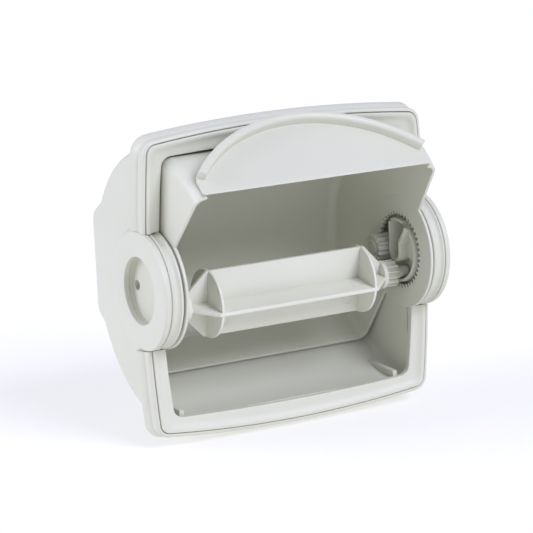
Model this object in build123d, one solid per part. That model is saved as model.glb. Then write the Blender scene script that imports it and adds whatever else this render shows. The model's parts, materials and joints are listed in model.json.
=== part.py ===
"""Recessed roll dispenser: a tub with a round-sided swinging hood and a cross-shaped spool.

Everything is drawn in the drum frame: X runs along the drum axis, Y points back into the
panel, Z is up, and the drum axis is X itself. write() then moves each piece into the row
frame, whose origin is the centre of the rear mounting pad.
"""

import os
from math import cos, degrees, pi, radians, sin, tan

from build123d import *

# Rear pad of the tub (drum frame)
PAD_Y = 69.0
PAD_TOP = 27.0
PAD_BOTTOM = -23.0
PAD_CENTRE_Z = (PAD_TOP + PAD_BOTTOM) / 2
PAD_SCREW_SPACING = 60.0
PAD_SCREW_R = 2.25

# Tub
TUB_R = 66.2
TUB_WALL = 1.4
TUB_IN_X = 70.0
TUB_OUT_X = 72.0

# Front frame: bowed outlines are (half width, half height, side bow, top bow, corner radius)
SEAM = (79.0, 75.8, 3.6, 4.6, 4.0)
RIM_GROW = 2.3
RIM_BACK_GROW = 3.7
SEAM_GAP = 0.4
OPENING = (71.3, 66.5, 4.1, 1.8, 4.5)
FRONT_Y = -7.6
SEAT_Y = -3.4
STEP_Y = -2.3
FLANGE_BACK_Y = 3.0
STEP_INSET = 0.35
LIP_PROUD = 0.5
LIP_WIDE = 2.0

# Side bosses
BOSS_R = 29.7
CAP_OUT_X = 80.25
CAP_IN_X = 77.4
RING_IN_X = 70.5
RECESS_R = 16.7
BULGE_R = 34.0
BOSS_GAP = 0.4
GROOVE_WIDE = 0.7

# Hood
DISC_R = 30.1
DISC_IN_X = 68.0
DISC_OUT_X = 69.6
HOOD_R = 62.8
HOOD_WALL = 1.6
HOOD_TAPER = 2.3
HOOD_FILLET = 6.0
HOOD_FROM = -57.0
HOOD_TO = 129.5
COLLAR_R = 25.0
COLLAR_WALL = 1.5
COLLAR_X = 73.0
RUNNING_GAP = 0.08

# Level end face under the front lip
LIP_REACH = 20.0

# Grip panel on the front lip
GRIP_HALF = 63.0
GRIP_END = 11.5
GRIP_RISE = 40.0
GRIP_THICK = 2.2
BEAD_WIDE = 4.2
BEAD_HIGH = 5.0

# Gears
MODULE = 0.9
SMALL_TEETH = 14
RING_TEETH = 42
TIP_ADD = 0.7
ROOT_CUT = 0.95
TOOTH_SHARE = 0.40
FLANK = 20.0

# Bearing cups
CUP_R = 15.05
CUP_WALL = 1.45
CUP_EDGE_X = 66.7
SEAT_EDGE_X = 65.0
CUP_BASE_X = 72.9
CUP_FLOOR_X = 74.9
CUP_BASE_R = 22.5
SLOT_HALF = 3.75
SLOT_WALL = 1.4
SLOT_Z = -0.8
PEAK = (-10.5, 12.4)
KNEE_Z = 5.0
SEAT_TOP_Z = 15.2
WEB_HIGH = 3.0

# Idler
IDLER_Y = MODULE * (RING_TEETH - SMALL_TEETH) / 2
IDLER_IN_X = 59.7
IDLER_OUT_X = 70.2
AXLE_R = 2.6
AXLE_HEAD_R = 3.9
AXLE_HEAD = 0.7
AXLE_GAP = 0.06

# Spool
SPOOL_Y = 0.2
SPOOL_Z = -11.6
SPOOL_LEAN = 9.5
ARM_R = 17.3
ARM_THICK = 2.0
PLATE_IN_X = 42.6
PLATE_THICK = 1.5
TAPER_FROM_X = 45.0
TAPER_TO_X = 55.0
END_R = 7.3
END_X = 57.4
SPOOL_GEAR_X = 64.0
PIN_R = 3.2
PIN_X = 72.0
SPOOL_AXLE_R = 2.4

# Stops on the tub floor
STOP_X = (60.4, 62.9)
STOP_FRONT_Y = -2.2
STOP_BACK_Y = 24.0
STOP_TOP_Z = -62.7

# Blank label inside the hood
LABEL_X = (-55.0, 34.0)
LABEL_ANGLES = (-40.0, -11.0)
LABEL_THICK = 0.2

FULL = 360.0


def across(x):
    """Drawing plane at that X, with sketch axes Y and Z."""
    return Plane(origin=(x, 0, 0), x_dir=(0, 1, 0), z_dir=(1, 0, 0))


def bar(sketch, x_from, x_to):
    """A Y-Z sketch pushed along X between two planes."""
    return extrude(across(x_from) * sketch, x_to - x_from)


def disc(radius, x_from, x_to, y=0.0, z=0.0):
    """A round bar along X."""
    return bar(Pos(y, z) * Circle(radius), x_from, x_to)


def slab(sketch, y_from, y_to):
    """An X-Z sketch pushed along Y between two planes."""
    plane = Plane(origin=(0, y_to, 0), x_dir=(1, 0, 0), z_dir=(0, -1, 0))
    return extrude(plane * sketch, y_to - y_from)


def drafted(front, back, y_from, y_to):
    """A solid that tapers along Y between two X-Z sketches of the same make."""
    planes = [Plane(origin=(0, y, 0), x_dir=(1, 0, 0), z_dir=(0, -1, 0)) for y in (y_from, y_to)]
    return loft([planes[0] * front, planes[1] * back], ruled=True)


def polar(radius, angle):
    """Y and Z of a point on a circle about the drum axis."""
    return radius * cos(radians(angle)), radius * sin(radians(angle))


def sector(r_in, r_out, a_from, a_to):
    """Y-Z sketch of a ring sector about the drum axis."""
    middle = (a_from + a_to) / 2
    edges = [
        ThreePointArc(polar(r_out, a_from), polar(r_out, middle), polar(r_out, a_to)),
        Line(polar(r_out, a_to), polar(r_in, a_to)),
        ThreePointArc(polar(r_in, a_to), polar(r_in, middle), polar(r_in, a_from)),
        Line(polar(r_in, a_from), polar(r_out, a_from)),
    ]
    return make_face(Curve() + edges)


def bowed(outline, grow=0.0):
    """X-Z outline with gently bowed sides and rounded corners."""
    half_x, half_z, bow_x, bow_z, corner = outline
    w, h = half_x + grow, half_z + grow
    cx, cz = w - bow_x, h - bow_z
    edges = [
        ThreePointArc((-cx, cz), (0, h), (cx, cz)),
        ThreePointArc((cx, cz), (w, 0), (cx, -cz)),
        ThreePointArc((cx, -cz), (0, -h), (-cx, -cz)),
        ThreePointArc((-cx, -cz), (-w, 0), (-cx, cz)),
    ]
    face = make_face(Curve() + edges)
    return fillet(face.vertices(), corner + grow)


def both(shape):
    """A shape and its mirror image across the middle."""
    return [shape, mirror(shape, Plane.YZ)]


def gear_outline(teeth, internal=False, turn=0.0):
    """Y-Z polygon of a small spur gear, or of the hole of a ring gear."""
    pitch_r = MODULE * teeth / 2
    outward = -1 if internal else 1
    tip_r = pitch_r + outward * TIP_ADD
    root_r = pitch_r - outward * ROOT_CUT
    half = TOOTH_SHARE * pi * MODULE / 2
    slope = tan(radians(FLANK))
    tip_half = half - TIP_ADD * slope
    root_half = half + ROOT_CUT * slope
    points = []
    for i in range(teeth):
        middle = turn + i * FULL / teeth
        for radius, offset in (
            (root_r, -root_half),
            (tip_r, -tip_half),
            (tip_r, tip_half),
            (root_r, root_half),
        ):
            points.append(polar(radius, middle + degrees(offset / radius)))
    return make_face(Polyline(*points, close=True))


def housing():
    """Tub with rear pad, flange rim, boss caps and floor stops, as one moulding."""
    pad = make_face(
        Polyline(
            (57, 35), (PAD_Y, PAD_TOP), (PAD_Y, PAD_BOTTOM), (63.6, -27.3),
            (30, -27.5), (30, 35), close=True,
        )
    )
    corners = [v for v in pad.vertices() if v.X > PAD_Y - 0.1]
    pad = fillet(corners, 3.5)
    outer = Circle(TUB_R + TUB_WALL) + pad
    body = bar(outer, -TUB_OUT_X, TUB_OUT_X)
    rounded = [
        e for e in body.edges()
        if abs(abs(e.center().X) - TUB_OUT_X) < 0.1 and e.center().Y > 5
    ]
    body = fillet(rounded, 1.8)
    body = body & Pos(0, 50 + SEAT_Y, 0) * Box(200, 100, 200)
    for x_side in (1, -1):
        cone = Solid.make_cone(BULGE_R, BOSS_R, CAP_OUT_X - TUB_OUT_X + 2, Plane(
            origin=(x_side * (TUB_OUT_X - 2), 0, 0), z_dir=(x_side, 0, 0)))
        cone = cone & Pos(0, 50 + SEAT_Y, 0) * Box(200, 100, 200)
        body = body + cone
    rim = drafted(bowed(SEAM, RIM_GROW), bowed(SEAM, RIM_BACK_GROW), STEP_Y, FLANGE_BACK_Y)
    rim = rim + slab(bowed(SEAM, RIM_GROW - STEP_INSET), FRONT_Y, STEP_Y)
    front = rim.faces().sort_by(Axis.Y)[0]
    rim = chamfer(front.outer_wire().edges(), 0.8)
    rim = rim - slab(bowed(SEAM, SEAM_GAP), FRONT_Y - 1, SEAT_Y)
    for part in both(disc(BOSS_R + BOSS_GAP, 60, 90)):
        rim = rim - part
    body = body + rim
    body = body - disc(TUB_R, -TUB_IN_X, TUB_IN_X)
    for part in both(disc(BOSS_R + BOSS_GAP, TUB_IN_X - 1, CAP_IN_X)):
        body = body - part
    for part in both(disc(BOSS_R, CAP_IN_X, CAP_OUT_X)):
        body = body + part
    for part in both(disc(RECESS_R, CAP_IN_X - 1, CAP_OUT_X + 1)):
        body = body - part
    for x in (-PAD_SCREW_SPACING / 2, PAD_SCREW_SPACING / 2):
        hole = Cylinder(PAD_SCREW_R, 20, rotation=(90, 0, 0))
        body = body - Pos(x, PAD_Y, PAD_CENTRE_Z) * hole
    stop_foot = -TUB_R - 0.4
    wedge = make_face(
        Polyline(
            (STOP_FRONT_Y, stop_foot), (STOP_FRONT_Y, STOP_TOP_Z),
            (STOP_BACK_Y, -(TUB_R**2 - STOP_BACK_Y**2) ** 0.5),
            (STOP_BACK_Y, stop_foot), close=True,
        )
    )
    wedge = wedge & Circle(TUB_R + 0.4)
    for part in both(bar(wedge, *STOP_X)):
        body = body + part
    return body


def boss_ring():
    """Right boss ring, turned: a flank with a hollow between two shoulders."""
    x0, x1 = RING_IN_X, CAP_IN_X
    r_in = COLLAR_R + RUNNING_GAP
    shoulder, hollow = 1.2, 1.1
    x_groove = x1 - GROOVE_WIDE
    edges = [
        Line((x0, r_in), (x0, BOSS_R - 0.5)),
        Line((x0, BOSS_R - 0.5), (x0 + 0.5, BOSS_R)),
        Line((x0 + 0.5, BOSS_R), (x0 + shoulder, BOSS_R)),
        ThreePointArc(
            (x0 + shoulder, BOSS_R),
            ((x0 + x_groove) / 2, BOSS_R - hollow),
            (x_groove - shoulder, BOSS_R),
        ),
        Line((x_groove - shoulder, BOSS_R), (x_groove, BOSS_R)),
        Line((x_groove, BOSS_R), (x_groove, BOSS_R - GROOVE_WIDE)),
        Line((x_groove, BOSS_R - GROOVE_WIDE), (x1, BOSS_R - GROOVE_WIDE)),
        Line((x1, BOSS_R - GROOVE_WIDE), (x1, r_in)),
        Line((x1, r_in), (x0, r_in)),
    ]
    return revolve(make_face(Curve() + edges), Axis.X)


def bezel():
    """Inner frame with a raised lip, carrying the two boss rings."""
    plate = slab(bowed(SEAM, -SEAM_GAP), FRONT_Y, SEAT_Y)
    lip = slab(bowed(SEAM, -SEAM_GAP), FRONT_Y - LIP_PROUD, FRONT_Y)
    front = lip.faces().sort_by(Axis.Y)[0]
    lip = chamfer(front.outer_wire().edges(), 0.45)
    lip = lip - slab(bowed(SEAM, -SEAM_GAP - LIP_WIDE), FRONT_Y - 2, FRONT_Y)
    body = plate + lip
    body = body - slab(bowed(OPENING), FRONT_Y - 3, SEAT_Y + 1)
    for part in both(disc(BOSS_R - 0.2, RING_IN_X - 3, CAP_OUT_X + 3)):
        body = body - part
    for part in both(boss_ring()):
        body = body + part
    for part in both(disc(BOSS_R + BOSS_GAP, CAP_IN_X, CAP_OUT_X + 5)):
        body = body - part
    for part in both(disc(DISC_R + 0.5, RING_IN_X - 5, RING_IN_X)):
        body = body - part
    return body


def seat_outline():
    """Y-Z outline of the J-shaped journal seat: rear wall, U bend, front wall and slant."""
    inner, outer = SLOT_HALF, SLOT_HALF + SLOT_WALL
    edges = [
        Line((inner, SEAT_TOP_Z), (outer, SEAT_TOP_Z)),
        Line((outer, SEAT_TOP_Z), (outer, SLOT_Z)),
        ThreePointArc((outer, SLOT_Z), (0, SLOT_Z - outer), (-outer, SLOT_Z)),
        Line((-outer, SLOT_Z), (-outer, KNEE_Z - 1.2)),
        Line((-outer, KNEE_Z - 1.2), (PEAK[0] - 0.6, PEAK[1] - 0.8)),
        Line((PEAK[0] - 0.6, PEAK[1] - 0.8), (PEAK[0] + 0.6, PEAK[1] + 0.6)),
        Line((PEAK[0] + 0.6, PEAK[1] + 0.6), (-inner, KNEE_Z)),
        Line((-inner, KNEE_Z), (-inner, SLOT_Z)),
        ThreePointArc((-inner, SLOT_Z), (0, SLOT_Z - inner), (inner, SLOT_Z)),
        Line((inner, SLOT_Z), (inner, SEAT_TOP_Z)),
    ]
    return make_face(Curve() + edges)


def bearing_cup():
    """Right spool bearing: dished base, two wall arcs, the J-shaped seat and its web."""
    r_out = CUP_R + CUP_WALL
    sunk = CUP_BASE_X + 0.5
    cup = disc(CUP_BASE_R, CUP_BASE_X, CAP_IN_X) - disc(RECESS_R, CUP_FLOOR_X, CAP_IN_X + 1)
    for a_from, a_to in ((68, 109), (130, 300)):
        cup = cup + bar(sector(CUP_R, r_out, a_from, a_to), CUP_EDGE_X, sunk)
    cup = cup + bar(seat_outline(), SEAT_EDGE_X, sunk)
    wall = SLOT_HALF + SLOT_WALL / 2
    web = make_face(
        Polyline(
            (-wall, SLOT_Z - 1.5), (-wall, 3.0), (-9.6, 10.4), (-13.6, 7.4), (-15.6, 0.0),
            (-14.6, -5.6), close=True,
        )
    )
    cup = cup + bar(web, CUP_BASE_X - WEB_HIGH, sunk)
    return cup - disc(AXLE_R, CUP_BASE_X - 1, CAP_IN_X + 1, IDLER_Y)


def idler_axle():
    """Fixed pin for the idler, with a low round head."""
    pin = disc(AXLE_R, IDLER_IN_X - 0.2, CUP_FLOOR_X, IDLER_Y)
    head = disc(AXLE_HEAD_R, IDLER_IN_X - 0.2 - AXLE_HEAD, IDLER_IN_X - 0.2, IDLER_Y)
    return pin + head


def idler_gear():
    """Gear between the hood's ring teeth and the spool gear's place."""
    outline = Pos(IDLER_Y, 0) * gear_outline(SMALL_TEETH, turn=0.0)
    hole = disc(AXLE_R + AXLE_GAP, IDLER_IN_X - 1, IDLER_OUT_X + 1, IDLER_Y)
    return bar(outline, IDLER_IN_X, IDLER_OUT_X) - hole


def hood_section():
    """Closed half section of the drum: side walls leaning in, rounded into the shell."""
    r_out = HOOD_R + HOOD_WALL
    r_turn = r_out - HOOD_FILLET
    x_rim = DISC_OUT_X - HOOD_TAPER
    outer = [
        (DISC_OUT_X, DISC_R - 2), (DISC_OUT_X, DISC_R + 1), (x_rim, r_turn),
    ]
    inner = [
        (DISC_IN_X, DISC_R - 2), (DISC_IN_X, DISC_R + 1), (x_rim - HOOD_WALL, r_turn),
    ]
    corner = HOOD_FILLET * (1 - 2**-0.5)
    corner_in = (HOOD_FILLET - HOOD_WALL) * (1 - 2**-0.5)

    def side(sign):
        def at(p):
            return (sign * p[0], p[1])

        out_end = at((x_rim - HOOD_FILLET, r_out))
        in_end = at((x_rim - HOOD_FILLET, HOOD_R))
        return [
            Line(at(inner[0]), at(outer[0])),
            Line(at(outer[0]), at(outer[1])),
            Line(at(outer[1]), at(outer[2])),
            ThreePointArc(at(outer[2]), at((x_rim - corner, r_out - corner)), out_end),
            ThreePointArc(
                at(inner[2]),
                at((x_rim - HOOD_WALL - corner_in, HOOD_R - corner_in)),
                in_end,
            ),
            Line(at(inner[1]), at(inner[2])),
            Line(at(inner[0]), at(inner[1])),
        ]

    reach = x_rim - HOOD_FILLET
    edges = side(1) + side(-1)
    edges += [Line((reach, r_out), (-reach, r_out)), Line((reach, HOOD_R), (-reach, HOOD_R))]
    return make_face(Curve() + edges)


def under_lip():
    """Space below the lip: its end face is level, so the grip ends in a sharp front edge."""
    half = DISC_OUT_X - HOOD_TAPER - HOOD_FILLET
    y_edge, z_edge = polar(HOOD_R + HOOD_WALL + GRIP_THICK, HOOD_TO)
    return Pos(0, y_edge, z_edge - LIP_REACH / 2) * Box(2 * half, LIP_REACH, LIP_REACH)


def hood_shell():
    """Half drum with side discs; the right disc has the ring of inner teeth."""
    section = hood_section()
    # the section is drawn in X-Y, where a point at +Y stands at angle 0
    shell = revolve(Rot(HOOD_FROM, 0, 0) * section, Axis.X, HOOD_TO - HOOD_FROM)
    shell = shell - under_lip()
    ring_hole = gear_outline(RING_TEETH, internal=True, turn=FULL / RING_TEETH / 2)
    plain_hole = Circle(MODULE * RING_TEETH / 2 - TIP_ADD)
    collar = disc(COLLAR_R, DISC_OUT_X, COLLAR_X)
    collar = collar - disc(COLLAR_R - COLLAR_WALL, DISC_OUT_X, COLLAR_X)
    for part in both(disc(DISC_R, DISC_IN_X, DISC_OUT_X)):
        shell = shell + part
    for part in both(collar):
        shell = shell + part
    shell = shell - bar(ring_hole, DISC_IN_X - 1, DISC_OUT_X + 1)
    shell = shell - bar(plain_hole, -DISC_OUT_X - 1, -DISC_IN_X + 1)
    return shell


def grip_plane():
    """Plane of the grip: its X runs along the drum axis, its Y climbs back from the lip."""
    y, z = polar(HOOD_R + HOOD_WALL, HOOD_TO)
    back = (0, sin(radians(HOOD_TO)), -cos(radians(HOOD_TO)))
    outward = (0, cos(radians(HOOD_TO)), sin(radians(HOOD_TO)))
    return Plane(origin=(0, y, z), x_dir=(1, 0, 0), z_dir=outward), back


def grip_outline(shrink=0.0):
    """Panel outline: straight lip, short ends and a long arc."""
    half, end, rise = GRIP_HALF, GRIP_END, GRIP_RISE
    top = rise - shrink
    return [(-half, 0), (half, 0), (half, end - shrink), (0, top), (-half, end - shrink)]


def hood_grip():
    """Flat lip panel with a raised bead along its arched edge."""
    plane, back = grip_plane()
    climb = 1 if (plane.y_dir.Y * back[1] + plane.y_dir.Z * back[2]) > 0 else -1

    def flat(shrink):
        a, b, c, top, e = [(x, climb * s) for x, s in grip_outline(shrink)]
        return make_face(Curve() + [Line(a, b), Line(b, c), ThreePointArc(c, top, e), Line(e, a)])

    panel = extrude(plane * flat(0), GRIP_THICK)
    bead = extrude(plane * (flat(0) - flat(BEAD_WIDE)), GRIP_THICK + BEAD_HIGH)
    return panel + bead - under_lip()


def label():
    """Blank sticker on the inner face of the hood's shell."""
    return bar(sector(HOOD_R - LABEL_THICK, HOOD_R, *LABEL_ANGLES), *LABEL_X)


def at_spool(shape):
    """Moves a piece drawn about X to the spool's axis, turned as it lies."""
    return Pos(0, SPOOL_Y, SPOOL_Z) * Rot(SPOOL_LEAN, 0, 0) * shape


def spool_core():
    """Cross of four arms with end plates, tapering to round ends."""
    profile = make_face(
        Polyline(
            (-END_X, 0), (-END_X, END_R), (-TAPER_TO_X, END_R), (-TAPER_FROM_X, ARM_R),
            (TAPER_FROM_X, ARM_R), (TAPER_TO_X, END_R), (END_X, END_R), (END_X, 0),
            close=True,
        )
    )
    arm = extrude(profile, ARM_THICK / 2, both=True)
    core = arm
    for turn in (90, 180, 270):
        core = core + Rot(turn, 0, 0) * arm
    for part in both(disc(ARM_R, PLATE_IN_X, PLATE_IN_X + PLATE_THICK)):
        core = core + part
    for part in both(disc(END_R, TAPER_TO_X, END_X)):
        core = core + part
    core = core - disc(SPOOL_AXLE_R, -END_X - 1, END_X + 1)
    return at_spool(core)


def spool_gear():
    """Gear and right journal of the spool."""
    gear = bar(gear_outline(SMALL_TEETH), END_X, SPOOL_GEAR_X) + disc(PIN_R, SPOOL_GEAR_X, PIN_X)
    return at_spool(gear - disc(SPOOL_AXLE_R, END_X - 1, PIN_X - 3))


def spool_journal():
    """Left journal of the spool, with a shoulder."""
    journal = disc(5.2, -END_X - 2, -END_X) + disc(PIN_R, -PIN_X, -END_X - 2)
    return at_spool(journal - disc(SPOOL_AXLE_R, -PIN_X + 3, -END_X + 1))


def spool_rod():
    """Rod through the core that joins the two journals."""
    return at_spool(disc(SPOOL_AXLE_R, -PIN_X + 3, PIN_X - 3))


def write(name, shape):
    """Moves a piece into the row frame and writes its STEP file."""
    placed = Pos(0, -PAD_Y, -PAD_CENTRE_Z) * shape
    export_step(placed, f"parts/{name}.step")
    size = placed.bounding_box().size
    print(name, len(placed.solids()), round(placed.volume), [round(v, 1) for v in size])


def main():
    os.makedirs("parts", exist_ok=True)
    right_cup = bearing_cup()
    write("housing", housing())
    write("bezel", bezel())
    write("right_bearing_cup", right_cup)
    write("left_bearing_cup", mirror(right_cup, Plane.YZ))
    write("idler_axle", idler_axle())
    write("idler_gear", idler_gear())
    write("hood_shell", hood_shell())
    write("hood_grip", hood_grip())
    write("blank_label", label())
    write("spool_core", spool_core())
    write("spool_gear", spool_gear())
    write("spool_journal", spool_journal())
    write("spool_rod", spool_rod())


main()
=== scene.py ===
"""Looks of a recessed roll dispenser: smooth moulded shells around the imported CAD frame.

Shapes are drawn in millimetres about the drum axis (X along it, Y back, Z up) and moved to
metres in the row frame by place(). Angles about the axis start at +Y and turn towards +Z.
"""

import json
from math import asin, atan2, ceil, cos, degrees, pi, radians, sin, tan

import bmesh
import bpy
import numpy as np
from mathutils import Matrix, Vector


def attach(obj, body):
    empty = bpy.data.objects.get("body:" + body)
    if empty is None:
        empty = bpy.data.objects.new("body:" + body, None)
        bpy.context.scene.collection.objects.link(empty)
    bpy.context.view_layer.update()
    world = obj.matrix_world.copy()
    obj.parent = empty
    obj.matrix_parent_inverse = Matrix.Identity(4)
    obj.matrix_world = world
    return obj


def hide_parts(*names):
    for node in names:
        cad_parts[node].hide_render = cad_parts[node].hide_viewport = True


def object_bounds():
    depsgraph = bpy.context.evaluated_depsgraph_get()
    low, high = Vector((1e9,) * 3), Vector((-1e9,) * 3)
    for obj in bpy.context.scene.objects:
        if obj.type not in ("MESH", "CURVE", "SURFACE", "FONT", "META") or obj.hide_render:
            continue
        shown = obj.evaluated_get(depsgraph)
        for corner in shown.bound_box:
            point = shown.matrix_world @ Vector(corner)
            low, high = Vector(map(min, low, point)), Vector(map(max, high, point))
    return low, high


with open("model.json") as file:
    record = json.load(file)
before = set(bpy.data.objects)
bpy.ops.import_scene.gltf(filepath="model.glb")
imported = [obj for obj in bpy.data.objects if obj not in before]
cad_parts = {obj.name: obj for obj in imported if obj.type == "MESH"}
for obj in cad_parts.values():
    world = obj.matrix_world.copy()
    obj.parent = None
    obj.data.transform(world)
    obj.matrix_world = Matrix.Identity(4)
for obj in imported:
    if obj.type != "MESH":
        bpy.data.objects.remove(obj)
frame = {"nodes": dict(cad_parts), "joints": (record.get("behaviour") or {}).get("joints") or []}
cad_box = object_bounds()
joint = {j["name"]: Vector(j["pos_m"]) for j in frame["joints"]}
AXIS = joint["hood_swing"]
MM = 0.001

# ---------------------------------------------------------------- driving sizes (mm)
TUB_R = 66.2
TUB_WALL = 1.4
TUB_IN_X = 70.0
TUB_OUT_X = 72.0
PAD_Y = 69.0
PAD_TOP = 27.0
PAD_BOTTOM = -23.0
PAD_SCREW_R = 2.25
PAD_SCREW_HALF = 30.0
# Y and Z round the rear pad, from its top run to its bottom run
PAD_OUTLINE = (
    (57.2, 35.2), (61.5, 32.4), (66.0, 29.4), (68.1, 27.2), (PAD_Y, 24.0),
    (PAD_Y, -20.8), (68.2, -23.6), (65.8, -25.8), (63.6, -27.3), (60.9, -28.6),
)

# outlines: half width, half height, how far the upright and then the level sides bulge, and
# corner radius
SEAM = (79.0, 75.8, 3.6, 4.6, 4.0)
OPENING = (71.3, 66.5, 4.1, 1.8, 4.5)
MOUTH = (71.0, 67.0, 0.05, 0.05, 4.0)
RIM_GROW = 2.3
RIM_BACK_GROW = 3.7
SEAM_GAP = 0.18
FRONT_Y = -7.6
SEAT_Y = -3.4
STEP_Y = -2.3
FLANGE_BACK_Y = 3.0
STOP_X = (60.4, 62.9)
STOP_FRONT_Y = -2.2
STOP_BACK_Y = 24.0
STOP_TOP_Z = -62.7

BOSS_R = 29.7
BOSS_GAP = 0.25
BOSS_ROOT_R = 26.0
CAP_OUT_X = 80.25
CAP_IN_X = 77.4
RING_IN_X = 70.5
RECESS_R = 16.7
BULGE_R = 34.0
BULGE_BLEND = 3.5

DISC_R = 30.1
DISC_IN_X = 68.0
DISC_OUT_X = 69.6
HOOD_R = 62.8
HOOD_WALL = 1.6
HOOD_TAPER = 2.3
HOOD_FILLET = 6.0
HOOD_FROM = -57.0
HOOD_TO = 129.5
COLLAR_R = 25.0
COLLAR_X = 73.0
PLAIN_RING_R = 18.2
TEETH_RIM_R = 20.85
DISC_HOLE_R = 20.8

LIP_REACH = 20.0
LABEL_X = (-55.0, 34.0)
LABEL_ANGLES = (-40.0, -11.0)
LABEL_CORNER = 2.0
LABEL_THICK = 0.2
GRIP_HALF = 63.0
GRIP_END = 11.5
GRIP_RISE = 40.0
GRIP_THICK = 2.2
BEAD_WIDE = 4.2
BEAD_HIGH = 5.0

MODULE = 0.9
TOOTH_ADD = 0.7
TOOTH_DEEP = 0.95
TOOTH_SHARE = 0.40
FLANK_ANGLE = 20.0
FLANK_CURVE = 0.08
FLANK_STEPS = 3
SMALL_TEETH = 14
RING_TEETH = 42
IDLER_Y = MODULE * (RING_TEETH - SMALL_TEETH) / 2
IDLER_IN_X = 59.7
IDLER_OUT_X = 70.2
AXLE_R = 2.6
AXLE_GAP = 0.06
AXLE_HEAD_R = 3.9

CUP_R = 15.05
CUP_WALL = 1.45
CUP_EDGE_X = 66.7
SEAT_EDGE_X = 65.0
CUP_BASE_X = 72.9
CUP_FLOOR_X = 74.9
CUP_BASE_R = 22.5
SLOT_HALF = 3.75
SLOT_WALL = 1.4
SLOT_Z = -0.8
PEAK = (-10.5, 12.4)

SPOOL = (joint["spool_spin"] - AXIS) / MM
SPOOL_LEAN = 9.5
ARM_R = 17.3
ARM_THICK = 2.0
PLATE_IN_X = 42.6
PLATE_THICK = 1.5
TAPER_FROM_X = 45.0
TAPER_TO_X = 55.0
END_R = 7.3
END_X = 57.4
SPOOL_GEAR_X = 64.0
PIN_R = 3.2
PIN_X = 72.0
LEFT_PIN_SHOULDER_R = 5.2
MARK_X = (-34.0, 36.5)
MARK_R = (2.45, 2.2)
MARK_RISE = 10.2

SHARP_ANGLE = 32.0
HOOD_SHARP_ANGLE = 40.0

# ---------------------------------------------------------------- camera
CAMERA_AZIMUTH = 28.27
CAMERA_ELEVATION = 12.43
CAMERA_ROLL = -2.48
AXIS_SEEN_AT = (8.42, -0.73, 1227.93)
LENS = 166.1
SENSOR = 36.0


def make_camera():
    """Camera at the reference viewing angle, placed from where it sees the drum axis."""
    az, el, roll = (radians(v) for v in (CAMERA_AZIMUTH, CAMERA_ELEVATION, CAMERA_ROLL))
    ahead = Vector((sin(az) * cos(el), cos(az) * cos(el), -sin(el)))
    right = Vector((cos(az), -sin(az), 0))
    up = right.cross(ahead)
    turned_right = right * cos(roll) + up * sin(roll)
    turned_up = up * cos(roll) - right * sin(roll)
    x, y, z = AXIS_SEEN_AT
    offset = turned_right * x + turned_up * y + ahead * z
    data = bpy.data.cameras.new("camera")
    data.lens = LENS
    data.sensor_width = SENSOR
    data.clip_start = 0.01
    data.clip_end = 20.0
    camera = bpy.data.objects.new("camera", data)
    turn = Matrix((turned_right, turned_up, -ahead)).transposed().to_4x4()
    camera.matrix_world = Matrix.Translation(AXIS - offset * MM) @ turn
    bpy.context.scene.collection.objects.link(camera)
    bpy.context.scene.camera = camera


# ---------------------------------------------------------------- materials
CLOUD_SCALE = 14.0
GRAIN_SCALE = 2600.0


def plastic(name, colour, roughness=0.42, grain=0.012, cloud=0.03, specular=0.4):
    """Satin moulded plastic: faint colour drift and spark-eroded grain."""
    material = bpy.data.materials.new(name)
    material.use_nodes = True
    nodes, links = material.node_tree.nodes, material.node_tree.links
    shader = nodes["Principled BSDF"]
    shader.inputs["Specular IOR Level"].default_value = specular
    place_node = nodes.new("ShaderNodeTexCoord")
    drift = nodes.new("ShaderNodeTexNoise")
    drift.inputs["Scale"].default_value = CLOUD_SCALE
    drift.inputs["Detail"].default_value = 3.0
    links.new(place_node.outputs["Object"], drift.inputs["Vector"])
    ramp = nodes.new("ShaderNodeValToRGB")
    low = [c * (1 - cloud) for c in colour]
    high = [min(1.0, c * (1 + cloud * 0.5)) for c in colour]
    ramp.color_ramp.elements[0].position = 0.3
    ramp.color_ramp.elements[0].color = (*low, 1)
    ramp.color_ramp.elements[1].position = 0.7
    ramp.color_ramp.elements[1].color = (*high, 1)
    links.new(drift.outputs["Fac"], ramp.inputs["Fac"])
    links.new(ramp.outputs["Color"], shader.inputs["Base Color"])
    fine = nodes.new("ShaderNodeTexNoise")
    fine.inputs["Scale"].default_value = GRAIN_SCALE
    fine.inputs["Detail"].default_value = 2.0
    links.new(place_node.outputs["Object"], fine.inputs["Vector"])
    spread = nodes.new("ShaderNodeMapRange")
    spread.inputs["To Min"].default_value = roughness - 0.05
    spread.inputs["To Max"].default_value = roughness + 0.07
    links.new(fine.outputs["Fac"], spread.inputs["Value"])
    links.new(spread.outputs["Result"], shader.inputs["Roughness"])
    bump = nodes.new("ShaderNodeBump")
    bump.inputs["Strength"].default_value = 0.35
    bump.inputs["Distance"].default_value = grain * MM
    links.new(fine.outputs["Fac"], bump.inputs["Height"])
    links.new(bump.outputs["Normal"], shader.inputs["Normal"])
    return material


GREY = (0.640, 0.645, 0.545)
MATERIALS = {
    "shell_plastic": plastic("shell_plastic", GREY, roughness=0.40),
    "hood_plastic": plastic("hood_plastic", (0.645, 0.650, 0.548), roughness=0.38),
    "cup_plastic": plastic("cup_plastic", (0.61, 0.615, 0.505), roughness=0.45),
    "spool_plastic": plastic("spool_plastic", (0.70, 0.705, 0.605), roughness=0.42),
    "gear_plastic": plastic("gear_plastic", (0.60, 0.605, 0.50), roughness=0.36),
    "rod_plastic": plastic("rod_plastic", (0.64, 0.645, 0.55), roughness=0.42),
    "label_film": plastic("label_film", (0.68, 0.685, 0.64), roughness=0.28, grain=0.004),
}


# ---------------------------------------------------------------- mesh helpers
def place(point):
    """A drawn point in millimetres about the drum axis, as metres in the row frame."""
    return (AXIS.x + point[0] * MM, AXIS.y + point[1] * MM, AXIS.z + point[2] * MM)


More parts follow.
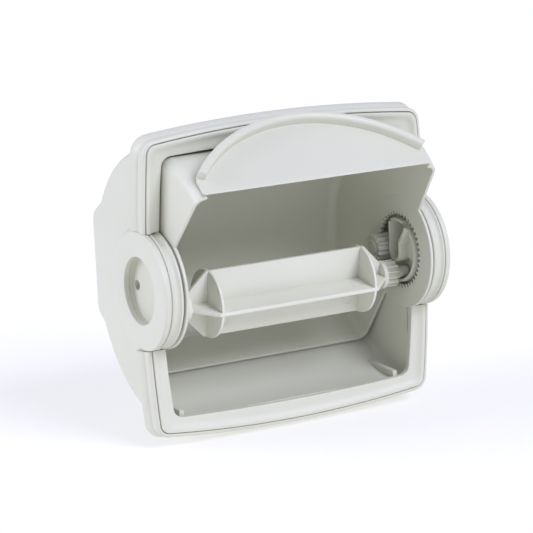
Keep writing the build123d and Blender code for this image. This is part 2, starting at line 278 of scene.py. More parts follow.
def polar(radius, angle):
    """Y and Z of a point about the drum axis."""
    return radius * cos(radians(angle)), radius * sin(radians(angle))


def turn_about_x(point, angle):
    """A point turned about the drum axis."""
    x, y, z = point
    c, s = cos(radians(angle)), sin(radians(angle))
    return (x, y * c - z * s, y * s + z * c)


def piece(name, points, faces, slot, body, nodes=(), sharp=SHARP_ANGLE, bevel=0.0):
    """A finished piece: mesh, material, body, and the CAD nodes it stands for."""
    mesh = bpy.data.meshes.new(name)
    mesh.from_pydata([place(p) for p in points], [], faces)
    mesh.validate()
    obj = bpy.data.objects.new(name, mesh)
    bpy.context.scene.collection.objects.link(obj)
    tidy_normals(obj)
    if bevel:
        soften(obj, bevel)
    smooth(obj, sharp)
    obj.data.materials.append(MATERIALS[slot])
    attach(obj, body)
    if nodes:
        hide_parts(*nodes)
    return obj


def tidy_normals(obj):
    """Merges doubled points and turns every face outward."""
    work = bmesh.new()
    work.from_mesh(obj.data)
    bmesh.ops.remove_doubles(work, verts=work.verts, dist=2e-6)
    bmesh.ops.recalc_face_normals(work, faces=work.faces)
    work.to_mesh(obj.data)
    work.free()


def apply_modifiers(obj):
    """Bakes the modifiers into the mesh."""
    depsgraph = bpy.context.evaluated_depsgraph_get()
    made = bpy.data.meshes.new_from_object(obj.evaluated_get(depsgraph))
    old = obj.data
    obj.modifiers.clear()
    obj.data = made
    bpy.data.meshes.remove(old)


def soften(obj, width, segments=3):
    """Rounds the sharp edges by a bevel of that many millimetres."""
    bevel = obj.modifiers.new("soft edges", "BEVEL")
    bevel.width = width * MM
    bevel.segments = segments
    bevel.limit_method = "ANGLE"
    bevel.angle_limit = radians(SHARP_ANGLE)
    bevel.use_clamp_overlap = True
    apply_modifiers(obj)


def smooth(obj, sharp=SHARP_ANGLE):
    """Smooth shading that breaks at edges sharper than the angle."""
    for face in obj.data.polygons:
        face.use_smooth = True
    obj.data.set_sharp_from_angle(angle=radians(sharp))


def grid_faces(rows, columns, wrap_rows, wrap_columns):
    """Quads of a rows by columns grid of points."""
    faces = []
    for i in range(rows if wrap_rows else rows - 1):
        for j in range(columns if wrap_columns else columns - 1):
            a = i * columns + j
            b = i * columns + (j + 1) % columns
            c = ((i + 1) % rows) * columns + (j + 1) % columns
            d = ((i + 1) % rows) * columns + j
            faces.append((a, b, c, d))
    return faces


def arc(centre, radius, a_from, a_to, steps):
    """Points of an arc in a plane, ends included."""
    return [
        (centre[0] + radius * cos(radians(a)), centre[1] + radius * sin(radians(a)))
        for a in np.linspace(a_from, a_to, steps + 1)
    ]


def circle(centre, radius, steps):
    """Points of a whole circle in a plane."""
    return arc(centre, radius, 0, 360, steps)[:-1]


def rounded(points, radii, steps):
    """A closed polygon with its corners rounded, each by its own radius."""
    out = []
    count = len(points)
    for i, radius in enumerate(radii):
        p, q, r = (Vector(points[(i + k) % count]) for k in (-1, 0, 1))
        a, b = (p - q).normalized(), (r - q).normalized()
        half = a.angle(b) / 2
        if radius <= 0 or half > radians(88):
            out.append(tuple(q))
            continue
        reach = min(radius / tan(half), (p - q).length * 0.49, (r - q).length * 0.49)
        real = reach * tan(half)
        centre = q + (a + b).normalized() * (real / sin(half))
        first, last = q + a * reach - centre, q + b * reach - centre
        t0 = atan2(first.y, first.x)
        t1 = atan2(last.y, last.x)
        sweep = (t1 - t0 + pi) % (2 * pi) - pi
        for k in range(steps + 1):
            t = t0 + sweep * k / steps
            out.append((centre.x + real * cos(t), centre.y + real * sin(t)))
    return out


def lathe(section, a_from=0.0, a_to=360.0, steps=96, centre=(0.0, 0.0)):
    """Points and faces of a closed (X, radius) section turned about a line along X."""
    whole = abs(a_to - a_from - 360.0) < 1e-6
    count = steps if whole else steps + 1
    points = []
    for i in range(count):
        angle = a_from + (a_to - a_from) * i / steps
        c, s = cos(radians(angle)), sin(radians(angle))
        points += [(x, centre[0] + r * c, centre[1] + r * s) for x, r in section]
    faces = grid_faces(count, len(section), whole, True)
    if not whole:
        faces.append(tuple(range(len(section))))
        faces.append(tuple(range((count - 1) * len(section), count * len(section)))[::-1])
    return points, faces


def slab(near, far):
    """Points and faces between two matching closed outlines, capped at both ends."""
    n = len(near)
    faces = [(i, (i + 1) % n, n + (i + 1) % n, n + i) for i in range(n)]
    faces += [tuple(range(n))[::-1], tuple(range(n, 2 * n))]
    return near + far, faces


def prism(outline, x_from, x_to):
    """Points and faces of a closed Y-Z outline pushed along X."""
    return slab([(x_from, y, z) for y, z in outline], [(x_to, y, z) for y, z in outline])


def joined(*shapes):
    """Several (points, faces) shapes as one."""
    points, faces = [], []
    for more_points, more_faces in shapes:
        start = len(points)
        points += more_points
        faces += [tuple(start + i for i in f) for f in more_faces]
    return points, faces


def mirrored(shape):
    """The mirror image across the middle."""
    points, faces = shape
    return [(-x, y, z) for x, y, z in points], [f[::-1] for f in faces]


SIDES = (("right", lambda shape: shape), ("left", mirrored))


def moved(shape, change):
    """A shape with every point passed through a function."""
    return [change(p) for p in shape[0]], shape[1]


def bowed(outline, grow=0.0, per_side=28, per_corner=9):
    """Points of a bowed frame outline in X and Z, corners rounded."""
    half_x, half_z, bow_x, bow_z, corner = outline
    w, h = half_x + grow, half_z + grow
    cx, cz = w - bow_x, h - bow_z
    # inward of the seam the corners keep the bezel edge's radius
    radius = max(corner + grow, corner - SEAM_GAP)
    corners = [(-cx, cz), (cx, cz), (cx, -cz), (-cx, -cz)]
    middles = [(0, h), (w, 0), (0, -h), (-w, 0)]

    def side(i):
        """Circle through side i's two corners and bowed middle, less what its corners take."""
        a, m, b = (Vector(p) for p in (corners[i], middles[i], corners[(i + 1) % 4]))
        chord = (b - a).length
        sag = (m - (a + b) / 2).length
        big = (chord * chord / 4 + sag * sag) / (2 * sag)
        inward = ((a + b) / 2 - m).normalized()
        centre = m + inward * big
        reach = asin(chord / 2 / big) - radius / big
        return centre, big, reach, (m - centre).normalized()

    def along(arc_side, t):
        """Point of a side's circle, turned by t from its middle."""
        centre, big, _, start = arc_side
        c, s = cos(t), sin(t)
        v = Vector((start.x * c + start.y * s, start.y * c - start.x * s))
        return centre.x + v.x * big, centre.y + v.y * big

    sides = [side(i) for i in range(4)]
    # a rational quadratic with this weight is a circular arc on a right angle
    weight = 0.707
    points = []
    for i, here in enumerate(sides):
        reach = here[2]
        points += [along(here, -reach + 2 * reach * k / per_side) for k in range(per_side + 1)]
        after = sides[(i + 1) % 4]
        begin, knee = Vector(points[-1]), Vector(corners[(i + 1) % 4])
        end = Vector(along(after, -after[2]))
        for k in range(1, per_corner):
            s = k / per_corner
            d = (1 - s) ** 2 + 2 * weight * s * (1 - s) + s * s
            p = (begin * (1 - s) ** 2 + knee * 2 * weight * s * (1 - s) + end * s * s) / d
            points.append(tuple(p))
    return points


def frame_rings(rings):
    """Points and faces of a closed frame skinned over (outline, Y) rings."""
    points = []
    for ring, y in rings:
        points += [(x, y, z) for x, z in ring]
    return points, grid_faces(len(rings), len(rings[0][0]), True, True)


def cut(obj, *tools):
    """Cuts closed tool shapes out of a piece."""
    for shape in tools:
        mesh = bpy.data.meshes.new("tool")
        mesh.from_pydata([place(p) for p in shape[0]], [], shape[1])
        tool = bpy.data.objects.new("tool", mesh)
        bpy.context.scene.collection.objects.link(tool)
        tidy_normals(tool)
        boolean = obj.modifiers.new("cut", "BOOLEAN")
        boolean.operation = "DIFFERENCE"
        boolean.solver = "EXACT"
        boolean.object = tool
        apply_modifiers(obj)
        bpy.data.objects.remove(tool)
        bpy.data.meshes.remove(mesh)


def gear_outline(teeth, internal=False, turn=0.0):
    """Points of a small gear, or of the hole of a ring gear, with curved flanks."""
    pitch = MODULE * teeth / 2
    outward = -1 if internal else 1
    half = TOOTH_SHARE * pi * MODULE / 2
    profile = []
    for k in range(FLANK_STEPS + 1):
        height = -TOOTH_DEEP + (TOOTH_ADD + TOOTH_DEEP) * k / FLANK_STEPS
        curve = FLANK_CURVE * height * abs(height)
        offset = half - height * tan(radians(FLANK_ANGLE)) - curve
        profile.append((pitch + outward * height, offset))
    points = []
    for i in range(teeth):
        middle = turn + i * 360 / teeth
        for radius, offset in profile:
            points.append(polar(radius, middle - degrees(offset / radius)))
        for radius, offset in profile[::-1]:
            points.append(polar(radius, middle + degrees(offset / radius)))
    return points


# ---------------------------------------------------------------- housing
def tub_radius(angle):
    """Outer radius of the tub: the drum, or the rear pad where that stands proud."""
    direction = Vector(polar(1.0, angle))
    best = TUB_R + TUB_WALL
    for p, q in zip(PAD_OUTLINE, PAD_OUTLINE[1:]):
        ax, ay, bx, by = *p, *q
        d = direction.x * (ay - by) - direction.y * (ax - bx)
        if abs(d) < 1e-9:
            continue
        t = (ax * (ay - by) - ay * (ax - bx)) / d
        s = (direction.x * ay - direction.y * ax) / d
        if 0 <= s <= 1 and t > best:
            best = t
    return best


def make_tub():
    """Tub shell with rounded floor corners and outer edges, open at the front."""
    inner_round, outer_round, first_r = 5.0, 2.4, 25.0
    steps = 6
    inner = [(TUB_IN_X, first_r - TUB_R), (TUB_IN_X, -24.0)]
    centre = (TUB_IN_X - inner_round, -inner_round)
    inner += arc(centre, inner_round, 0, 90, steps)
    outer = [(TUB_OUT_X, first_r - TUB_R - TUB_WALL), (TUB_OUT_X, -26.0)]
    centre = (TUB_OUT_X - outer_round, -outer_round)
    outer += arc(centre, outer_round, 0, 90, steps)
    path = [("in", x, d) for x, d in inner]
    path += [("in", -x, d) for x, d in inner[::-1]]
    path += [("out", -x, d) for x, d in outer]
    path += [("out", x, d) for x, d in outer[::-1]]
    # even steps all round, with finer ones where the pad stands proud
    angles = sorted({*np.linspace(-93, 93, 125), *np.linspace(-26, 33, 60)})
    points = []
    for angle in angles:
        big = tub_radius(angle)
        for side, x, drop in path:
            radius = (TUB_R if side == "in" else big) + drop
            if side == "out" and drop < -20:
                radius = TUB_R + TUB_WALL + drop
            points.append((x, *polar(radius, angle)))
    rows, columns = len(angles), len(path)
    faces = grid_faces(rows, columns, False, True)
    faces.append(tuple(range(columns)))
    faces.append(tuple(range((rows - 1) * columns, rows * columns))[::-1])
    tub = piece("tub", points, faces, "shell_plastic", "housing_body", ["housing"])
    holes = []
    for x in (-PAD_SCREW_HALF, PAD_SCREW_HALF):
        section = circle((x, (PAD_TOP + PAD_BOTTOM) / 2), PAD_SCREW_R, 40)
        holes.append(slab(*([(a, y, b) for a, b in section] for y in (60.0, 75.0))))
    cut(tub, *holes)
    smooth(tub)


def boss_tools():
    """Plugs that clear the frame pieces where the bosses stand."""
    plug = prism(circle((0, 0), BOSS_R + BOSS_GAP, 120), RING_IN_X - 6, 92)
    return [plug, mirrored(plug)]


def make_rim():
    """Flange rim: stepped side, rounded front edge and the wall of the seam."""
    g, inset, back = RIM_GROW, 0.35, RIM_BACK_GROW
    front = [(g - inset, STEP_Y - 0.3), (g - inset, FRONT_Y + 1.6)]
    front += [
        (g - inset - 1.3 * (1 - cos(radians(a))), FRONT_Y + 1.4 - 1.3 * sin(radians(a)))
        for a in (20, 40, 60, 80)
    ]
    section = [
        (back - 0.5, FLANGE_BACK_Y), (back - 0.15, FLANGE_BACK_Y - 0.15),
        (back - 0.1, FLANGE_BACK_Y - 0.5), (g + 0.05, STEP_Y + 0.25), (g - 0.1, STEP_Y + 0.05),
    ]
    section += front
    section += [
        (SEAM_GAP + 0.35, FRONT_Y + 0.02), (SEAM_GAP + 0.1, FRONT_Y + 0.12),
        (SEAM_GAP, FRONT_Y + 0.4), (SEAM_GAP, SEAT_Y),
    ]
    # the inner side follows the tub's mouth, inside the thickness of its wall
    mouth = bowed(MOUTH)
    rings = [(bowed(SEAM, grow), y) for grow, y in section]
    points, faces = frame_rings([(mouth, FLANGE_BACK_Y)] + rings + [(mouth, SEAT_Y)])
    rim = piece("flange_rim", points, faces, "shell_plastic", "housing_body", ["housing"])
    cut(rim, *boss_tools())
    smooth(rim)


def make_bezel():
    """Inner frame: raised lip beside the seam, then a shallow hollow down to the opening."""
    g = -SEAM_GAP
    section = [
        (g, SEAT_Y), (g, FRONT_Y + 0.1), (g - 0.12, FRONT_Y - 0.25), (g - 0.45, FRONT_Y - 0.45),
        (g - 0.9, FRONT_Y - 0.5), (g - 1.5, FRONT_Y - 0.45), (g - 2.0, FRONT_Y - 0.25),
        (g - 2.5, FRONT_Y + 0.1), (g - 3.2, FRONT_Y + 0.55), (g - 4.2, FRONT_Y + 0.95),
        (g - 5.4, FRONT_Y + 1.15), (g - 6.4, FRONT_Y + 1.2),
    ]
    outer = [(bowed(SEAM, grow), y) for grow, y in section]
    inner_section = [
        (0.35, FRONT_Y + 1.25), (0.1, FRONT_Y + 1.4), (0.0, FRONT_Y + 1.8), (0.0, SEAT_Y),
    ]
    inner = [(bowed(OPENING, grow), y) for grow, y in inner_section]
    points, faces = frame_rings(outer + inner)
    bezel = piece("bezel_frame", points, faces, "shell_plastic", "housing_body", ["bezel"])
    cut(bezel, *boss_tools())
    smooth(bezel)


def boss_shape():
    """Right boss cap with its dish, and the blended bulge behind the flange."""
    r = BOSS_R
    back_edge, front_edge, dish_edge = 0.35, 0.8, 0.5
    cap = [(CAP_IN_X, 20.0), (CAP_IN_X, r - 0.4)]
    cap += arc((CAP_IN_X + back_edge, r - back_edge), back_edge, 150, 90, 2)
    cap += [(CAP_OUT_X - front_edge, r)]
    cap += arc((CAP_OUT_X - front_edge, r - front_edge), front_edge, 75, 0, 5)
    cap += [(CAP_OUT_X, RECESS_R + dish_edge)]
    cap += arc((CAP_OUT_X - dish_edge, RECESS_R + dish_edge), dish_edge, -30, -90, 2)
    cap += [(CAP_IN_X, RECESS_R)]
    whole = lathe(cap, steps=128)
    foot = BULGE_R + BULGE_BLEND
    bulge = [
        (TUB_OUT_X - 1.0, BOSS_ROOT_R), (TUB_OUT_X - 1.0, foot + 2), (TUB_OUT_X, foot + 1.5),
        (TUB_OUT_X + 0.12, BULGE_R + BULGE_BLEND * 0.6), (TUB_OUT_X + 0.7, BULGE_R + 0.7),
        (TUB_OUT_X + 1.9, BULGE_R - 0.6), (CAP_OUT_X - 2.2, r + 1.0), (CAP_OUT_X - 0.9, r + 0.35),
        (CAP_OUT_X - 0.35, r - 0.1), (CAP_OUT_X - 0.05, r - 1.0), (CAP_OUT_X - 0.05, BOSS_ROOT_R),
    ]
    back = lathe(bulge, -90.0, 90.0, steps=80)
    return whole, back


def make_bosses():
    """Boss caps, bulges and the turned rings of the bezel, left and right."""
    whole, back = boss_shape()
    r, x0, x1 = BOSS_R, RING_IN_X, CAP_IN_X
    groove = x1 - 0.75
    ring = [(x1, 20.0), (x0, 25.1), (x0, r - 0.9)]
    for y, z in (polar(0.9, a) for a in (22, 45, 67, 90)):
        ring.append((x0 + 0.9 - y, r - 0.9 + z))
    shoulder, hollow = x0 + 1.4, 1.1
    span = groove - 0.7 - shoulder
    ring += [(shoulder, r)]
    for t in np.linspace(0.08, 0.92, 13):
        ring.append((shoulder + span * t, r - hollow * sin(pi * t) ** 0.8))
    ring += [(groove - 0.7, r), (groove - 0.25, r - 0.05), (groove, r - 0.3)]
    ring += [(groove, r - 0.8), (x1, r - 0.8)]
    turned = lathe(ring, steps=128)
    for side, change in SIDES:
        points, faces = change(joined(whole, back))
        piece(f"{side}_boss_cap", points, faces, "shell_plastic", "housing_body", ["housing"])
        points, faces = change(turned)
        piece(f"{side}_boss_ring", points, faces, "shell_plastic", "housing_body", ["bezel"])


def make_stops():
    """Two wedge ribs on the tub floor."""
    back = degrees(asin(STOP_BACK_Y / TUB_R)) - 90
    outline = [polar(TUB_R + 0.3, a) for a in np.linspace(back, -92, 9)]
    outline += [(STOP_FRONT_Y, -TUB_R), (STOP_FRONT_Y, STOP_TOP_Z - 0.3)]
    outline += [(STOP_FRONT_Y + 0.3, STOP_TOP_Z)]
    for side, change in SIDES:
        points, faces = change(prism(outline, *STOP_X))
        name = f"{side}_stop_rib"
        piece(name, points, faces, "shell_plastic", "housing_body", ["housing"], bevel=0.25)


# ---------------------------------------------------------------- bearing cups and gears
def cup_outlines():
    """Y-Z outlines of the cup's walls: two arcs, the J-shaped seat and its web."""
    r_out = CUP_R + CUP_WALL
    walls = []
    for a_from, a_to in ((68, 109), (130, 300)):
        steps = int(ceil((a_to - a_from) / 4))
        outside = arc((0, 0), r_out, a_from, a_to, steps)
        inside = arc((0, 0), CUP_R, a_to, a_from, steps)
        walls.append(outside + inside)
    inner, outer = SLOT_HALF, SLOT_HALF + SLOT_WALL
    top = (CUP_R**2 - outer**2) ** 0.5 + 0.3
    seat = [(outer, top), (outer, SLOT_Z)]
    seat += arc((0, SLOT_Z), outer, 0, -180, 24)[1:]
    seat += [(-outer, 3.8), (PEAK[0] - 0.5, PEAK[1] - 0.6), (PEAK[0] + 0.7, PEAK[1] + 0.7)]
    seat += [(-inner, 5.0), (-inner, SLOT_Z)]
    seat += arc((0, SLOT_Z), inner, -180, 0, 24)[1:]
    seat += [(inner, top)]
    web = [(-outer + 0.3, SLOT_Z - 2.5), (-outer + 0.3, 4.0), PEAK]
    web += [(-13.8, 6.0), (-15.2, 0.0), (-14.2, -5.6)]
    return walls, seat, web


def make_cups():
    """Bearing cups: walls and seat standing on a round base."""
    walls, seat, web = cup_outlines()
    back, root = CAP_IN_X - 0.1, CUP_BASE_X + 0.5
    base = [(CUP_BASE_X, 0.02), (CUP_BASE_X, CUP_BASE_R), (back, CUP_BASE_R)]
    base += [(back, RECESS_R - 0.1), (CUP_FLOOR_X + 0.6, RECESS_R - 0.1)]
    base += [(CUP_FLOOR_X + 0.15, RECESS_R - 0.25), (CUP_FLOOR_X, RECESS_R - 0.7)]
    base += [(CUP_FLOOR_X, 0.02)]
    pin_hole = prism(circle((IDLER_Y, 0.0), AXLE_R, 36), 70, 80)
    # each standing part: name, outline, the X of its free edge, and the softening of its edges
    standing = [(f"cup_wall_{i + 1}", wall, CUP_EDGE_X, 0.22) for i, wall in enumerate(walls)]
    standing += [("journal_seat", seat, SEAT_EDGE_X, 0.25)]
    standing += [("seat_web", web, CUP_BASE_X - 3.5, 0.2)]
    for side, change in SIDES:
        keep = ("cup_plastic", "housing_body", [f"{side}_bearing_cup"])
        floor = piece(f"{side}_cup_base", *change(lathe(base, steps=120)), *keep)
        cut(floor, change(pin_hole))
        smooth(floor)
        for part, outline, edge_x, bevel in standing:
            shape = change(prism(outline, edge_x, root))
            piece(f"{side}_{part}", *shape, *keep, bevel=bevel)


def make_idler():
    """Idler gear, and the fixed axle with its low head."""
    outline = [(y + IDLER_Y, z) for y, z in gear_outline(SMALL_TEETH)]
    points, faces = prism(outline, IDLER_IN_X, IDLER_OUT_X)
    gear = piece("idler", points, faces, "gear_plastic", "idler", ["idler_gear"], bevel=0.16)
    cut(gear, prism(circle((IDLER_Y, 0.0), AXLE_R + AXLE_GAP, 48), 50, 80))
    smooth(gear)
    x, r = IDLER_IN_X - 0.9, AXLE_HEAD_R
    head = [(x + 0.9, r), (x + 0.25, r), (x, r - 0.3), (x, r - 0.9), (x + 0.3, r - 1.05)]
    head += [(x + 0.3, r - 1.25), (x + 0.1, r - 1.4), (x + 0.1, 0.02)]
    head += [(CUP_FLOOR_X, 0.02), (CUP_FLOOR_X, AXLE_R), (x + 0.9, AXLE_R)]
    points, faces = lathe(head, steps=64, centre=(IDLER_Y, 0.0))
    piece("axle", points, faces, "gear_plastic", "housing_body", ["idler_axle"])


# ---------------------------------------------------------------- hood
def hood_section():
    """Closed (X, radius) section of the half drum."""
    r_out = HOOD_R + HOOD_WALL
    x_rim = DISC_OUT_X - HOOD_TAPER
    steps = 8
    outer = [(DISC_OUT_X - 0.5, DISC_R - 3), (DISC_OUT_X - 0.02, DISC_R - 0.6)]
    outer += [(DISC_OUT_X, DISC_R + 1)]
    outer += arc((x_rim - HOOD_FILLET, r_out - HOOD_FILLET), HOOD_FILLET, 0, 90, steps)
    inner = [(DISC_IN_X + 0.5, DISC_R - 3), (DISC_IN_X - 0.03, DISC_R - 1.0)]
    inner += [(DISC_IN_X - 0.02, DISC_R + 1)]
    small = HOOD_FILLET - HOOD_WALL
    inner += arc((x_rim - HOOD_FILLET, HOOD_R - small), small, 0, 90, steps)
    right = inner[::-1] + outer
    left = [(-x, r) for x, r in right[::-1]]
    return right + left


def make_hood():
    """Half drum, side discs with rolled rims, collars and the ring teeth."""
    keep = ("hood_plastic", "hood", ["hood_shell"])
    drum = lathe(hood_section(), HOOD_FROM, HOOD_TO, steps=120)
    drum = piece("hood_drum", *drum, *keep, bevel=0.35, sharp=HOOD_SHARP_ANGLE)
    # the lip ends level, so what hangs below the grip's inner edge is cut away
    half = DISC_OUT_X - HOOD_TAPER - HOOD_FILLET
    y, z = polar(HOOD_R + HOOD_WALL + GRIP_THICK, HOOD_TO)
    below = [(y - LIP_REACH / 2, z), (y + LIP_REACH / 2, z)]
    below += [(y + LIP_REACH / 2, z - LIP_REACH), (y - LIP_REACH / 2, z - LIP_REACH)]
    cut(drum, prism(below, -half, half))
    smooth(drum, HOOD_SHARP_ANGLE)
    r, x0, x1 = DISC_R, DISC_IN_X, DISC_OUT_X
    disc = [(x0, DISC_HOLE_R), (x0, r - 0.75), (x0 + 0.06, r - 0.3), (x0 + 0.3, r - 0.05)]
    disc += [(x0 + 0.6, r), (x1 - 0.4, r), (x1 - 0.1, r - 0.12), (x1, r - 0.4)]
    disc += [(x1, COLLAR_R), (COLLAR_X - 0.3, COLLAR_R), (COLLAR_X, COLLAR_R - 0.3)]
    disc += [(COLLAR_X, COLLAR_R - 1.5), (x1, COLLAR_R - 1.5), (x1, DISC_HOLE_R)]
    turned = lathe(disc, steps=144)
    for side, change in SIDES:
        piece(f"{side}_hood_disc", *change(turned), *keep)
    teeth = gear_outline(RING_TEETH, internal=True, turn=180 / RING_TEETH)
    rim = [Vector(p).normalized() * TEETH_RIM_R for p in teeth]
    n = len(teeth)
    points = []
    for x in (x0, x1):
        points += [(x, *p) for p in teeth] + [(x, *p) for p in rim]
    faces = []
    for i in range(n):
        j = (i + 1) % n
        faces += [(i, j, n + j, n + i), (2 * n + i, 3 * n + i, 3 * n + j, 2 * n + j)]
        faces += [(i, 2 * n + i, 2 * n + j, j), (n + i, n + j, 3 * n + j, 3 * n + i)]
    piece("hood_ring_teeth", points, faces, *keep)
    plain = [(-x1, PLAIN_RING_R), (-x0, PLAIN_RING_R), (-x0, TEETH_RIM_R), (-x1, TEETH_RIM_R)]
    piece("hood_plain_ring", *lathe(plain, steps=96), *keep)


def grip_point(x, climb, height):
    """A point of the grip: along the lip, up the panel, and out from it."""
    y, z = polar(HOOD_R + HOOD_WALL, HOOD_TO)
    back = (sin(radians(HOOD_TO)), -cos(radians(HOOD_TO)))
    out = (cos(radians(HOOD_TO)), sin(radians(HOOD_TO)))
    return (x, y + climb * back[0] + height * out[0], z + climb * back[1] + height * out[1])


def arch_circle():
    """Radius of the arched edge's circle, and how far up the panel its centre is."""
    sag = GRIP_RISE - GRIP_END
    big = (GRIP_HALF * GRIP_HALF + sag * sag) / (2 * sag)
    return big, GRIP_RISE - big


def make_grip():
    """Flat lip panel and the rolled bead along its arch."""
    columns, rows, bends = 72, 14, 96
    big, centre = arch_circle()
    points = []
    level = -GRIP_THICK * tan(radians(HOOD_TO))
    for t in np.linspace(-1, 1, columns + 1):
        x = GRIP_HALF * sin(pi / 2 * t)
        # the panel ends under the bead
        top = max(centre + (big * big - x * x) ** 0.5 - 1.0, 1.0)
        ring = [(level, 0.0), (0.12, GRIP_THICK - 0.12), (0.35, GRIP_THICK)]
        ring += [(0.35 + (top - 0.35) * k / rows, GRIP_THICK) for k in range(1, rows + 1)]
        ring += [(top, 0.0)]
        points += [grip_point(x, c, h) for c, h in ring]
    strip("grip_panel", points, columns + 1)
    top, wide = GRIP_THICK + BEAD_HIGH, BEAD_WIDE
    corners = [(0.0, 0.0), (0.0, top), (-wide, top), (-wide, GRIP_THICK - 0.4), (-wide, 0.0)]
    profile = rounded(corners, [0.6, 1.7, 1.9, 0, 0], steps=6)
    limit = degrees(asin(GRIP_HALF / big))
    points = []
    for i in range(bends + 1):
        t = radians(-limit + 2 * limit * i / bends)
        for inward, height in profile:
            radius = big + inward
            points.append(grip_point(radius * sin(t), centre + radius * cos(t), height))
    strip("grip_bead", points, bends + 1, bevel=0.5, sharp=50)


def strip(name, points, rows, **looks):
    """A piece of the grip: closed rings of points, one after the other, with capped ends."""
    per = len(points) // rows
    faces = grid_faces(rows, per, False, True)
    faces += [tuple(range(per)), tuple(range((rows - 1) * per, rows * per))[::-1]]
    piece(name, points, faces, "hood_plastic", "hood", ["hood_grip"], **looks)


def make_label():
    """Blank sticker with rounded corners, lying on the hood's inner face."""
    r = HOOD_R - 0.25
    left, right = LABEL_X
    low, high = LABEL_ANGLES
    columns, rows = 24, 48
    points = []
    for i in range(columns + 1):
        for j in range(rows + 1):
            # the ends pull in near the top and bottom edges, which rounds the corners
            edge = max(0.0, abs(2 * j / rows - 1) - 0.86) / 0.14
            pull = LABEL_CORNER * (1 - (1 - edge * edge) ** 0.5) * (1 - 2 * i / columns)
            x = left + (right - left) * i / columns + pull
            points.append((x, *polar(r, low + (high - low) * j / rows)))
    n = len(points)
    outer = [(x, y * (r + LABEL_THICK) / r, z * (r + LABEL_THICK) / r) for x, y, z in points]
    faces = grid_faces(columns + 1, rows + 1, False, False)
    faces += [tuple(n + v for v in f[::-1]) for f in faces]
    edge = [i * (rows + 1) for i in range(columns + 1)]
    edge += [columns * (rows + 1) + j for j in range(1, rows + 1)]
    edge += [i * (rows + 1) + rows for i in range(columns - 1, -1, -1)]
    edge += list(range(rows - 1, 0, -1))
    for a, b in zip(edge, edge[1:] + edge[:1]):
        faces.append((a, b, n + b, n + a))
    piece("label_blank", points + outer, faces, "label_film", "hood", ["blank_label"])


# ---------------------------------------------------------------- spool
def at_spool(shape):
    """A shape drawn about the drum axis, moved to the spool and leaned as it lies."""

    def change(point):
        x, y, z = turn_about_x(point, SPOOL_LEAN)
        return (x, y + SPOOL.y, z + SPOOL.z)

    return moved(shape, change)


def quarter(shape, k):
    """A shape turned k quarters about the drum axis."""
    return moved(shape, lambda point: turn_about_x(point, 90 * k))


def make_spool():
    """Four tapered arms, end plates, end caps, journals, gear and ejector marks."""

    def spool_piece(name, shape, *nodes, slot="spool_plastic", bevel=0.0):
        piece(name, *at_spool(shape), slot, "spool", nodes, bevel=bevel)

    half, cap_x, cap_r = ARM_THICK / 2, END_X - 0.4, END_R - 0.3
    outline = [
        (-cap_x, -0.4), (-cap_x, cap_r), (-TAPER_TO_X, cap_r), (-TAPER_FROM_X, ARM_R),
        (TAPER_FROM_X, ARM_R), (TAPER_TO_X, cap_r), (cap_x, cap_r), (cap_x, -0.4),
    ]
    arm = slab([(x, -half, r) for x, r in outline], [(x, half, r) for x, r in outline])
    for k in range(4):
        spool_piece(f"spool_arm_{k + 1}", quarter(arm, k), "spool_core", bevel=0.35)
    x, t, r = PLATE_IN_X, PLATE_THICK, ARM_R
    plate = [(x, 0.02), (x, r - 0.5), (x + 0.15, r - 0.1), (x + 0.5, r)]
    plate += [(x + t - 0.5, r), (x + t - 0.15, r - 0.1), (x + t, r - 0.5), (x + t, 0.02)]
    x, r = TAPER_TO_X, END_R
    end = [(x, 0.02), (x, r - 0.5), (x + 0.15, r - 0.15), (x + 0.5, r)]
    end += [(END_X - 0.5, r), (END_X - 0.15, r - 0.15), (END_X, r - 0.5), (END_X, 0.02)]
    for side, change in SIDES:
        spool_piece(f"{side}_spool_plate", change(lathe(plate, steps=96)), "spool_core")
        spool_piece(f"{side}_spool_end", change(lathe(end, steps=64)), "spool_core")
    pinion = prism(gear_outline(SMALL_TEETH), END_X - 0.1, SPOOL_GEAR_X)
    spool_piece("spool_pinion", pinion, "spool_gear", slot="gear_plastic", bevel=0.16)
    tip = [(PIN_X - 0.6, PIN_R), (PIN_X, PIN_R - 0.6), (PIN_X, 0.02)]
    pin = [(SPOOL_GEAR_X - 1, 0.02), (SPOOL_GEAR_X - 1, PIN_R)] + tip
    spool_piece("right_journal", lathe(pin, steps=48), "spool_gear", "spool_rod")
    r = LEFT_PIN_SHOULDER_R
    pin = [(END_X - 0.5, 0.02), (END_X - 0.5, r), (END_X + 1.7, r), (END_X + 2, r - 0.3)]
    pin += [(END_X + 2, PIN_R)] + tip
    spool_piece("left_journal", mirrored(lathe(pin, steps=48)), "spool_journal")
    outer, inner = MARK_R
    marks = []
    for x in MARK_X:
        points = []
        for radius, lift in ((outer, -0.1), (outer, 0.1), (inner, 0.1), (inner, -0.1)):
            points += [(a, half + lift, b) for a, b in circle((x, MARK_RISE), radius, 40)]
        mark = (points, grid_faces(4, 40, True, True))
        marks += [quarter(mark, k) for k in range(4)]
    spool_piece("ejector_marks", joined(*marks), "spool_core")


# ---------------------------------------------------------------- stage
def soft_sun(name, azimuth, elevation, strength, spread):
    """A broad distant light. Azimuth 0 is in front of the object, negative to its left."""
    az, el = radians(azimuth), radians(elevation)
    source = Vector((sin(az) * cos(el), -cos(az) * cos(el), sin(el)))
    data = bpy.data.lights.new(name, "SUN")
    data.energy = strength
    data.angle = radians(spread)
    data.color = LIGHT_TINT
    light = bpy.data.objects.new(name, data)
    light.rotation_euler = source.to_track_quat("Z", "Y").to_euler()
    bpy.context.scene.collection.objects.link(light)


LIGHT_TINT = (0.94, 0.95, 1.14)
WORLD_LIGHT = 0.49
BACKDROP_WHITE = 1.05
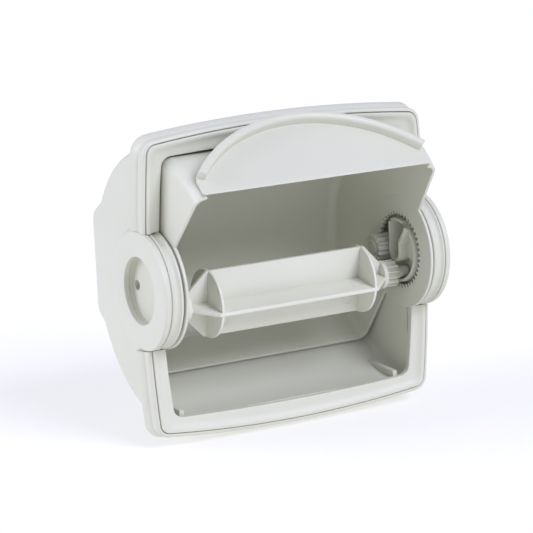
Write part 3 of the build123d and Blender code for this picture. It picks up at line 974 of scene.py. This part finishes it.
# suns: azimuth, elevation, strength, and the angle they spread over
KEY_LIGHT = (20, 38, 1.9, 30)
FILL_LIGHT = (-110, 25, 1.6, 40)
FLOOR_GREY = 0.45
FLOOR_GLOW = 0.55
FLOOR_REACH = 6.0
FLOOR_DROP = 0.0005


def make_stage():
    """Pale floor, white surroundings and soft lights."""
    low, reach = cad_box[0].z - FLOOR_DROP, FLOOR_REACH
    mesh = bpy.data.meshes.new("floor")
    corners = ((-reach, -reach), (reach, -reach), (reach, reach), (-reach, reach))
    mesh.from_pydata([(x, y, low) for x, y in corners], [], [(0, 1, 2, 3)])
    floor = bpy.data.objects.new("floor", mesh)
    bpy.context.scene.collection.objects.link(floor)
    material = bpy.data.materials.new("floor")
    material.use_nodes = True
    shader = material.node_tree.nodes["Principled BSDF"]
    shader.inputs["Base Color"].default_value = (FLOOR_GREY, FLOOR_GREY, FLOOR_GREY, 1)
    shader.inputs["Roughness"].default_value = 0.9
    shader.inputs["Specular IOR Level"].default_value = 0.0
    shader.inputs["Emission Color"].default_value = (1, 1, 1, 1)
    shader.inputs["Emission Strength"].default_value = FLOOR_GLOW
    mesh.materials.append(material)
    world = bpy.data.worlds.new("studio")
    bpy.context.scene.world = world
    world.use_nodes = True
    nodes, links = world.node_tree.nodes, world.node_tree.links
    back = nodes["Background"]
    back.inputs["Color"].default_value = (*LIGHT_TINT, 1)
    back.inputs["Strength"].default_value = WORLD_LIGHT
    white = nodes.new("ShaderNodeBackground")
    white.inputs["Color"].default_value = (1, 1, 1, 1)
    white.inputs["Strength"].default_value = BACKDROP_WHITE
    path = nodes.new("ShaderNodeLightPath")
    mix = nodes.new("ShaderNodeMixShader")
    links.new(path.outputs["Is Camera Ray"], mix.inputs["Fac"])
    links.new(back.outputs["Background"], mix.inputs[1])
    links.new(white.outputs["Background"], mix.inputs[2])
    links.new(mix.outputs["Shader"], nodes["World Output"].inputs["Surface"])
    soft_sun("key", *KEY_LIGHT)
    soft_sun("left_fill", *FILL_LIGHT)
    scene = bpy.context.scene
    scene.view_settings.view_transform = "Standard"
    scene.view_settings.look = "None"


# ---------------------------------------------------------------- build
make_camera()
make_stage()
make_tub()
make_rim()
make_bezel()
make_bosses()
make_stops()
make_cups()
make_idler()
make_hood()
make_grip()
make_label()
make_spool()

for name, node in frame["nodes"].items():
    if not node.hide_render:
        node.data.materials.clear()
        node.data.materials.append(MATERIALS["shell_plastic"])
